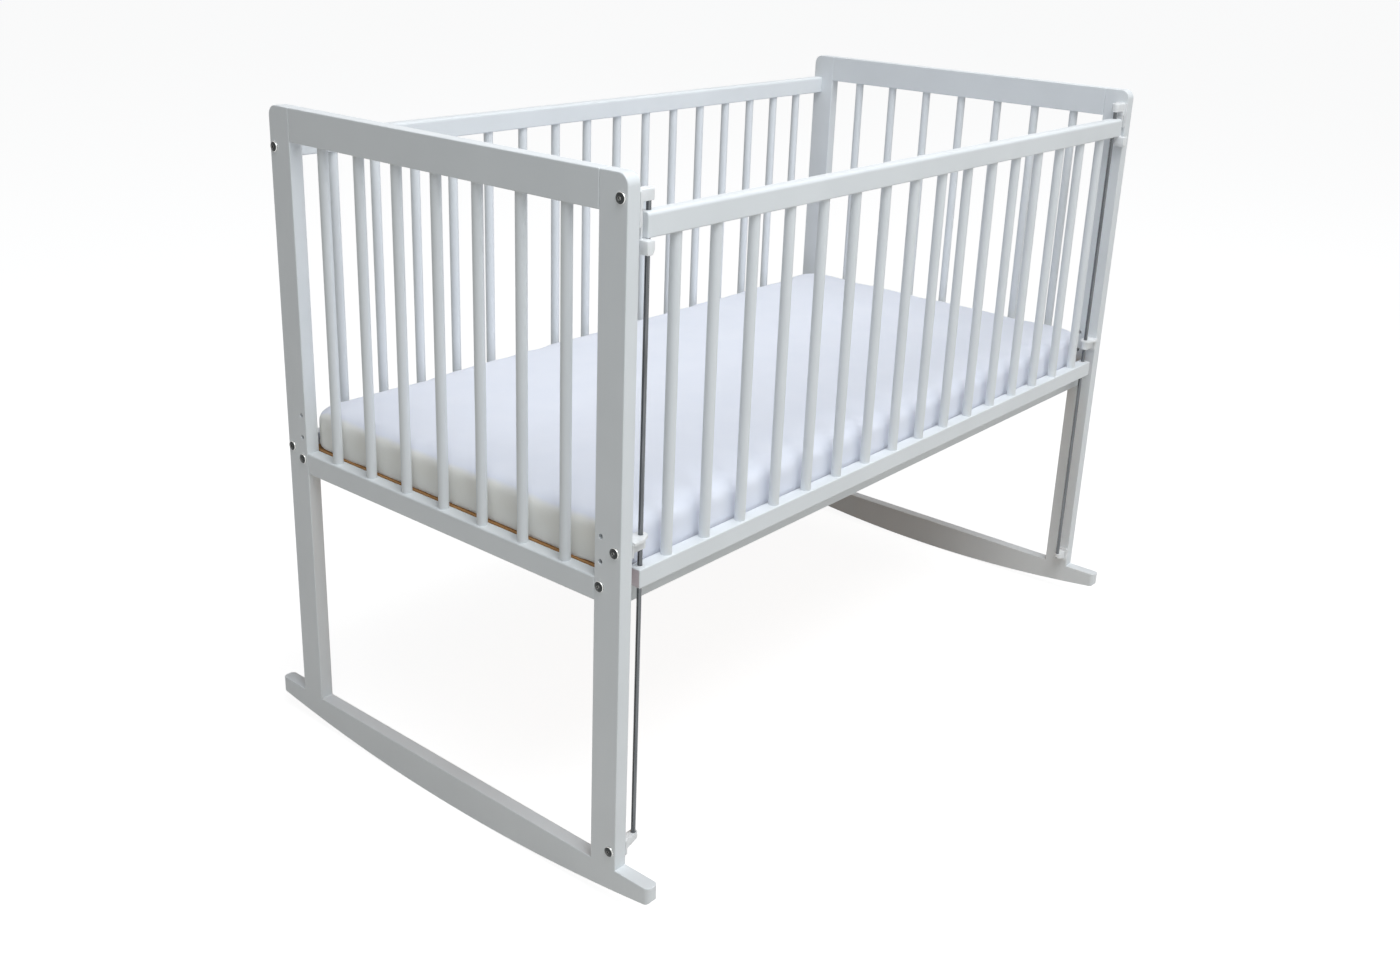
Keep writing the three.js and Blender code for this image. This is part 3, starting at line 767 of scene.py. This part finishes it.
def middleGuidePiece(endName, end):
    # plate, sleeve round the rod, and a wider tab on top whose inner end is part of a circle
    look = guideLook
    name = endName + "MiddleGuide"
    low, high = boxOf(nodeName(name))
    rodX, reach = end * rodLook["x"], look["nose"]
    under = high[2] - look["tab"]
    plate, sleeve, inner, _ = fittingBase(nodeName(name), end, fittingLook["radius"],
                                          under - look["sleeve"], under + fittingLook["overlap"])
    turn = np.linspace(look["noseTurn"], -np.pi / 2, look["noseSteps"])
    nose = np.stack([rodX - end * reach * np.cos(turn), sideLine - reach * np.sin(turn)], axis=1)
    front, back = [[inner, low[1]], [rodX + end * reach, low[1]]], [[inner, sideLine + reach]]
    tab = extruded("z", np.concatenate([front, nose, back]), under, high[2])
    bore = rodBore(end, low[2] - fittingLook["clear"], high[2] + fittingLook["clear"])
    fittingPiece(name, fuse([plate, sleeve, tab], [bore]))


def footBracketPiece(endName, end):
    # plate and a boss whose underside slants from the plate up to a lip; the rod stands in its bore
    look = footLook
    name = endName + "FootBracket"
    top = boxOf(nodeName(name))[1][2] - look["plateMargin"]
    bottom = top - look["rise"]
    plate, boss, _, plateX = fittingBase(nodeName(name), end, look["radius"], bottom - look["tail"], top)
    past, below = rodLook["x"] - look["radius"], bottom - 2 * look["tail"]
    slant = np.array([
        (plateX + end * look["skim"], below), (plateX + end * look["skim"], bottom),
        (end * (past - look["lipPast"]), top - look["lip"]), (end * (past - look["wedgePast"]), below),
    ])
    wedge = extruded("y", slant, sideLine - look["wedgeHalf"], sideLine + look["wedgeHalf"])
    boss = cutMesh(tidyMesh(boss), [wedge])
    seat = rodBore(end, top - look["seatDepth"], top + look["seatClear"])
    fittingPiece(name, fuse([plate, boss], [seat]))


# Bolts: domed heads with a six-sided socket
boltLook = {
    "radius": 0.007,
    "height": 0.0032,
    "shankRadius": 0.003,
    "shankLength": 0.018,
    "sunk": 0.0005,
    "skirt": 0.0004,
    "wall": 0.0009,
    "domeWidth": 0.0016,
    "domeHeight": 0.0015,
    "domeSteps": 6,
    "faceIn": 0.0030,
    "faceDrop": 0.0002,
    "ring": 0.0009,
    "lipWidth": 0.00025,
    "lipDepth": 0.0003,
    "socketWidth": 0.0042,
    "socketDepth": 0.0022,
    "coneDepth": (0.0004, 0.0007),
    "coneTip": 0.0002,
    "rimHeight": 0.0020,
    "socketShare": 1.16,
    "columns": 60,
}


def boltRows(look):
    # each row: radius, height over the post, and how far it is a hexagon
    r, h, half = look["radius"], look["height"], look["socketWidth"] / 2
    shank, sunk, wall, floor = look["shankRadius"], -look["sunk"], look["wall"], h - look["socketDepth"]
    rows = [(shank, -look["shankLength"], 0), (shank, sunk, 0), (r - look["skirt"], sunk, 0), (r, 0.0, 0)]
    rows += [
        (r - look["domeWidth"] * (1 - np.cos(turn)), wall + look["domeHeight"] * np.sin(turn), 0)
        for turn in np.linspace(0, np.pi / 2, look["domeSteps"])
    ]
    rows += [(r - look["faceIn"], h - look["faceDrop"], 0), (half + look["ring"], h, 0)]
    rows += [(half + look["lipWidth"], h, 1), (half, h - look["lipDepth"], 1), (half, floor, 1)]
    halfway, tip = look["coneDepth"]
    rows += [(half / 2, floor - halfway, 0.5), (look["coneTip"], floor - tip, 0)]
    return np.array(rows)


def boltPiece(name):
    # rings round the bolt's axis; the socket's follow a hexagon: half width / cos(angle from a flat's middle)
    look = boltLook
    node = nodeName(name)
    low, high = boxOf(node)
    end = 1 if high[0] > 0 else -1
    face = (high[0] if end > 0 else low[0]) - end * look["height"]
    y, z = (low[1] + high[1]) / 2, (low[2] + high[2]) / 2
    rows = boltRows(look)
    turn = np.linspace(0, 2 * np.pi, look["columns"], endpoint=False)
    fromFlat = (turn + np.pi / 6) % (np.pi / 3) - np.pi / 6
    reach = rows[:, :1] * (1 + rows[:, 2:] * (1 / np.cos(fromFlat)[None] - 1))
    rings = np.array([y, z]) + reach[..., None] * circlePoints(look["columns"])[None]
    mesh = skin(placed("x", rings, face + end * rows[:, 1:2]))
    # one plated steel in three tones: painted highlight on the side wall, painted dark reflection on the
    # face, lighter painted highlight in the socket
    finishes = [steel["boltRimPaintedHighlight"], steel["boltFacePaintedDarkReflection"], steel["boltSocketPaintedHighlight"]]
    faces = addPiece(name, mesh, finishes, "frame", [node]).data.polygons
    centres = np.empty(len(faces) * 3)
    faces.foreach_get("center", centres)
    centres = centres.reshape(-1, 3)
    rise = (centres[:, 0] - face) * end
    away = np.hypot(centres[:, 1] - y, centres[:, 2] - z)
    paintedLightTone = np.where(rise < look["rimHeight"], 0, 1)
    paintedLightTone[(away < look["socketWidth"] / 2 * look["socketShare"]) & (rise > 0)] = 2
    faces.foreach_set("material_index", paintedLightTone.astype(np.int32))


boltNames = ["TopBracketBolt", "MiddleGuideBolt", "FootBracketBolt", "FrontBearerBolt", "BackBearerBolt",
             "BackTopRailBolt", "BackLowerRailBolt"]
for endName, end in ends.items():
    rodPieces(endName, end)
    topBracketPiece(endName, end)
    catchPiece(endName, end)
    middleGuidePiece(endName, end)
    footBracketPiece(endName, end)
    for boltName in boltNames:
        boltPiece(endName + boltName)
print("rods, fittings and bolts made")


# The base board
baseBoard = {"corner": 0.002, "ease": 0.0006}
low, high = boxOf("base_board")
outline = roundedRectangle(low[0], high[0], low[1], high[1], baseBoard["corner"])
board = carried("z", outline, low[2], high[2], baseBoard["ease"])
addPiece("baseBoard", board, [hardboard], "frame", ["base_board"])
print("board made")


# The mattress: a foam slab in a woven cover
mattressLook = {
    "smaller": 0.0006,
    "cornerRadius": 0.030,
    "cornerSteps": 12,
    "topRadius": 0.006,
    "bottomRadius": 0.002,
    "edgeSteps": 8,
    "crown": 0.003,
    "voxel": 0.0086,
    "pressure": 4.0,
    "frames": 20,
    "farthest": 0.006,
    "drawIn": 0.15,
    "wallDepth": 0.0066,
    "footDepth": 0.0070,
    "footShare": 0.12,
    "wallReach": 0.022,
    "footDown": 0.0040,
    "within": 0.0004,
    # each corner's sides, lift and reach, and how fast the lift dies away
    "lifts": [((-1, -1), 0.007, 0.10), ((-1, 1), 0.006, 0.12), ((1, -1), 0.006, 0.10), ((1, 1), 0.005, 0.10)],
    "liftFade": 1.5,
    "creases": {"depth": 0.0012, "width": 0.030, "wave": 41, "sway": 2.1, "swayWave": 17, "across": (93, 60)},
    "puckers": {
        "depth": 0.0014, "reach": 0.10, "wave": 150, "sway": 1.7, "swayWave": 57, "lean": 2.0, "least": 0.3,
    },
}
weaveLook = {
    # the top's lavender tint is painted cool light; the ends' brighter cream is partly the foam's own tone
    # and partly painted warm shade
    "top": (0.86, 0.88, 0.985),
    "topDeep": (0.835, 0.86, 0.97),
    "side": (0.95, 0.94, 0.89),
    "sideDeep": (0.92, 0.90, 0.845),
    "cloudScale": 14.0,
    "endBand": (0.010, 0.002),
    "threads": 900.0,
    "threadStretch": 0.12,
    "threadDetail": 2.0,
    "relief": 0.3,
    "depth": 0.00012,
    "inputs": {
        "Roughness": 0.85,
        "Sheen Weight": 0.15,
        "Subsurface Weight": 0.4,
        "Subsurface Radius": (1, 1, 1),
        "Subsurface Scale": 0.020,
    },
}


def coverMaterial(endX):
    # woven cover: threads each way; lavender white on top, where the tint is painted cool light, and cream
    # near the ends, partly the foam showing through and partly painted warm shade
    look = weaveLook
    made, nodes, links, shader = nodeTree("mattressCover")
    cloud = stretchedNoise(nodes, links, (1, 1, 1), look["cloudScale"])
    top = toneFrom(nodes, links, cloud, look["topDeep"], look["top"])
    side = toneFrom(nodes, links, cloud, look["sideDeep"], look["side"])
    place = nodes.new("ShaderNodeTexCoord")
    apart = nodes.new("ShaderNodeSeparateXYZ")
    links.new(place.outputs["Object"], apart.inputs["Vector"])
    fromMiddle = nodes.new("ShaderNodeMath")
    fromMiddle.operation = "ABSOLUTE"
    links.new(apart.outputs["X"], fromMiddle.inputs[0])
    atEnd = nodes.new("ShaderNodeMapRange")
    atEnd.interpolation_type = "SMOOTHSTEP"
    bandStart, bandStop = look["endBand"]
    setInputs(atEnd, {"From Min": endX - bandStart, "From Max": endX - bandStop})
    links.new(fromMiddle.outputs["Value"], atEnd.inputs["Value"])
    mix = nodes.new("ShaderNodeMix")
    mix.data_type = "RGBA"
    links.new(atEnd.outputs["Result"], mix.inputs["Factor"])
    links.new(top, mix.inputs["A"])
    links.new(side, mix.inputs["B"])
    links.new(mix.outputs["Result"], shader.inputs["Base Color"])
    setInputs(shader, look["inputs"])
    before = None
    for axis in range(3):
        stretch = [1.0, 1.0, 1.0]
        stretch[axis] = look["threadStretch"]
        threads = stretchedNoise(nodes, links, stretch, look["threads"], look["threadDetail"])
        before = bumpFrom(nodes, links, threads, look["relief"], look["depth"], before)
    links.new(before.outputs["Normal"], shader.inputs["Normal"])
    return made


def slabMesh(low, high, look):
    # rounded rectangles in x and y carried up z; each edge draws in on a quarter circle of its own radius:
    # inset = radius * (1 - sin), height from the face = radius * (1 - cos)
    small = look["smaller"]
    shape = roundedRectangle(low[0] + small, high[0] - small, low[1] + small, high[1] - small,
                             look["cornerRadius"], look["cornerSteps"])
    turn = np.linspace(0, np.pi / 2, look["edgeSteps"])
    bottom, top = look["bottomRadius"], look["topRadius"]
    height = high[2] - small - look["crown"]
    place = np.concatenate([low[2] + bottom * (1 - np.cos(turn)), height - top * (1 - np.cos(turn[::-1]))])
    inset = np.concatenate([bottom * (1 - np.sin(turn)), top * (1 - np.sin(turn[::-1]))])
    return skin(placed("z", shape(inset), place[:, None]))


def pointsOf(mesh):
    points = np.empty(len(mesh.vertices) * 3)
    mesh.vertices.foreach_get("co", points)
    return points.reshape(-1, 3)


def applied(piece):
    # the piece's mesh becomes what its modifiers make of it
    graph = bpy.context.evaluated_depsgraph_get()
    made = bpy.data.meshes.new_from_object(piece.evaluated_get(graph))
    old = piece.data
    piece.modifiers.clear()
    piece.data = made
    bpy.data.meshes.remove(old)


def inflated(piece, look):
    # cloth under pressure for some frames; the foam holds the slab's shape, so moves towards its middle
    # count for little, and no point may end farther than the cap from where it began:
    # new = old + move * min(1, cap / length of move)
    before = pointsOf(piece.data)
    cloth = piece.modifiers.new("pressure", "CLOTH")
    settings = cloth.settings
    settings.use_pressure = True
    settings.uniform_pressure_force = look["pressure"]
    settings.effector_weights.gravity = 0
    cloth.point_cache.frame_start, cloth.point_cache.frame_end = 1, look["frames"]
    for step in range(1, look["frames"] + 1):
        scene.frame_set(step)
    applied(piece)
    scene.frame_set(1)
    move = pointsOf(piece.data) - before
    middle = (before.min(axis=0) + before.max(axis=0)) / 2
    inwards = move * (before - middle) < 0
    move *= np.where(inwards, look["drawIn"], 1)
    length = np.linalg.norm(move, axis=1, keepdims=True)
    return before + move * np.minimum(1, look["farthest"] / np.maximum(length, 1e-9))


def standingWalls(points, share, half, look):
    # the walls stand up straight, the foot of them too; how far in from the wall each point is becomes
    # max(0, distance - depth) * reach / (reach - depth)
    inwards = half[:2] - np.abs(points[:, :2])
    depth = look["wallDepth"] + look["footDepth"] * np.clip(1 - share[:, None] / look["footShare"], 0, 1)
    reach = look["wallReach"]
    straight = np.maximum(inwards - depth, 0) * reach / (reach - depth)
    return np.where(inwards < reach, straight, inwards)


def rises(points, share, half, look):
    # crown: height * (1 - x^2) * (1 - y^2) * share of the height, with x and y as shares of the half sizes;
    # corners: lift * (1 - distance / reach) ^ fade, most at the foot; creases: two waves multiplied
    x, y = points[:, 0], points[:, 1]
    shareX, shareY = np.clip(x / half[0], -1, 1), np.clip(y / half[1], -1, 1)
    rise = look["crown"] * (1 - shareX**2) * (1 - shareY**2) * share
    for (sideX, sideY), lift, reach in look["lifts"]:
        distance = np.hypot(x - sideX * half[0], y - sideY * half[1])
        rise = rise + lift * np.clip(1 - distance / reach, 0, 1) ** look["liftFade"] * (1 - share)
    crease = look["creases"]
    edge = np.exp(-(((half[1] - np.abs(y)) / crease["width"]) ** 2)) * share**2
    acrossX, acrossY = crease["across"]
    wander = np.sin(x * crease["wave"] + crease["sway"] * np.sin(x * crease["swayWave"]))
    wander = wander * np.sin(x * acrossX + y * acrossY)
    return rise + crease["depth"] * edge * wander


def puckers(points, share, inwards, look):
    # how far the cover is drawn in near a wall: a wave along the wall that leans with the height
    look = look["puckers"]
    along, share = points[:, 1::-1], share[:, None]
    sway = look["sway"] * np.sin(along * look["swayWave"])
    wave = np.sin(along * look["wave"] + sway + look["lean"] * share)
    nearWall = np.clip(1 - inwards / look["reach"], 0, 1)
    return look["depth"] * nearWall * (0.5 + 0.5 * wave) * (look["least"] + (1 - look["least"]) * share)


def settled(points, low, high, look):
    # the slab as it lies: straight walls, crown, lifted corners, creases and puckers, and nothing of it
    # outside its solid's space
    half = (high - low) / 2
    share = (points[:, 2] - low[2]) / (high[2] - low[2])
    inwards = standingWalls(points, share, half, look)
    points = points.copy()
    points[:, :2] = np.sign(points[:, :2]) * (half[:2] - inwards)
    share = np.clip(share, 0, 1)
    rise = rises(points, share, half, look)
    points[:, :2] -= puckers(points, share, inwards, look) * np.sign(points[:, :2])
    points[:, 2] += rise
    # the underside lies flat on the board where it is nearly down
    points[:, 2] = np.where(points[:, 2] < low[2] + look["footDown"], low[2], points[:, 2])
    inside = half[:2] - look["within"]
    points[:, :2] = np.clip(points[:, :2], -inside, inside)
    return points


def mattressPiece():
    # the slab, evened out by a voxel remesh, puffed up by the cloth pass and settled on the board
    look = mattressLook
    low, high = boxOf("mattress")
    mesh = tidyMesh(slabMesh(low, high, look))
    mesh.name = "mattressFabric"
    piece = bpy.data.objects.new("mattressFabric", mesh)
    scene.collection.objects.link(piece)
    remesh = piece.modifiers.new("even", "REMESH")
    remesh.mode = "VOXEL"
    remesh.voxel_size = look["voxel"]
    applied(piece)
    points = inflated(piece, look)
    points = settled(points, low, high, look)
    piece.data.vertices.foreach_set("co", points.ravel())
    piece.data.update()
    piece.data.materials.clear()
    piece.data.materials.append(coverMaterial(high[0]))
    smoothFaces(piece.data)
    smoother = piece.modifiers.new("finer", "SUBSURF")
    smoother.levels = smoother.render_levels = 1
    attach(piece, "mattress_pad")
    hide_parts("mattress")


mattressPiece()
print("mattress made")


# Studio: pale floor, plain world and soft lamps
studio = {
    "floorSize": 60.0,
    "floorGlow": 0.90,
    "floorShown": (0.28, 0.28, 0.28),
    "floorBounce": (0.67, 0.64, 0.59),
    "skyColour": (0.93, 0.97, 1.0),
    "skyStrength": 0.19,
}
paleWhite, blueWhite = (0.96, 0.98, 1.0), (0.86, 0.94, 1.0)
# each lamp: its place, what it points at, its size, power and colour
lamps = {
    "above": ((0.45, -0.25, 2.3), (0.45, -0.15, 0.5), (1.5, 0.9), 5.5, paleWhite),
    "key": ((0.2, -2.1, 4.2), (0.05, -0.1, 0.5), (3.4, 2.0), 73.0, paleWhite),
    "high": ((-1.3, -1.6, 4.4), (-0.4, -0.1, 0.4), (2.2, 2.2), 52.0, paleWhite),
    "side": ((-1.5, -1.6, 2.2), (-0.5, -0.3, 0.4), (1.3, 1.3), 11.5, blueWhite),
    "front": ((0.5, -3.6, 1.1), (0.1, -0.3, 0.5), (4.0, 2.2), 9.0, blueWhite),
}


def mixedOutput(nodes, links, light, seen, kind):
    # the second shader is for rays from the camera and in reflections, so that metal shows the pale
    # surroundings too; the first one is for the light that reaches the object
    path = nodes.new("ShaderNodeLightPath")
    direct = path.outputs["Is Camera Ray"]
    for ray in ("Is Glossy Ray", "Is Transmission Ray"):
        either = nodes.new("ShaderNodeMath")
        either.operation = "MAXIMUM"
        links.new(direct, either.inputs[0])
        links.new(path.outputs[ray], either.inputs[1])
        direct = either.outputs["Value"]
    mix, out = nodes.new("ShaderNodeMixShader"), nodes.new("ShaderNodeOutput" + kind)
    for socket, source in zip(mix.inputs, (direct, light, seen)):
        links.new(source, socket)
    links.new(mix.outputs["Shader"], out.inputs["Surface"])


def addFloor(spec):
    # one large square that glows a little to the camera and bounces warm light
    half = spec["floorSize"] / 2
    mesh = bpy.data.meshes.new("floor")
    corners = [(-half, -half, 0), (half, -half, 0), (half, half, 0), (-half, half, 0)]
    mesh.from_pydata(corners, [], [(0, 1, 2, 3)])
    floor = bpy.data.objects.new("floor", mesh)
    scene.collection.objects.link(floor)
    made = bpy.data.materials.new("floorPale")
    made.use_nodes = True
    nodes, links = made.node_tree.nodes, made.node_tree.links
    nodes.clear()
    # what the camera sees is nearly white by itself, and the light on it adds the rest, so that a soft
    # shadow stays
    kinds = ("Emission", "BsdfDiffuse", "AddShader", "BsdfDiffuse")
    glow, lit, shown, bounce = (nodes.new("ShaderNode" + kind) for kind in kinds)
    setInputs(glow, {"Strength": spec["floorGlow"]})
    setInputs(lit, {"Color": (*spec["floorShown"], 1)})
    setInputs(bounce, {"Color": (*spec["floorBounce"], 1)})
    links.new(glow.outputs["Emission"], shown.inputs[0])
    links.new(lit.outputs["BSDF"], shown.inputs[1])
    mixedOutput(nodes, links, bounce.outputs["BSDF"], shown.outputs["Shader"], "Material")
    mesh.materials.append(made)


def addWorld(spec):
    # a faint cool light all round, and plain white where it is seen
    world = bpy.data.worlds.new("studio")
    scene.world = world
    world.use_nodes = True
    nodes, links = world.node_tree.nodes, world.node_tree.links
    nodes.clear()
    light, seen = (nodes.new("ShaderNodeBackground") for _ in range(2))
    setInputs(light, {"Color": (*spec["skyColour"], 1), "Strength": spec["skyStrength"]})
    setInputs(seen, {"Color": (1, 1, 1, 1)})
    mixedOutput(nodes, links, light.outputs["Background"], seen.outputs["Background"], "World")


def addLamp(name, place, target, size, power, colour):
    # a soft rectangle turned towards its target
    lamp = bpy.data.objects.new(name, bpy.data.lights.new(name, "AREA"))
    scene.collection.objects.link(lamp)
    lamp.data.shape = "RECTANGLE"
    lamp.data.size, lamp.data.size_y = size
    lamp.data.energy = power
    lamp.data.color = colour
    lamp.location = place
    lamp.rotation_euler = (Vector(target) - Vector(place)).to_track_quat("-Z", "Y").to_euler()


addFloor(studio)
addWorld(studio)
for lampName, lampSpec in lamps.items():
    addLamp(lampName, *lampSpec)
print("studio set")
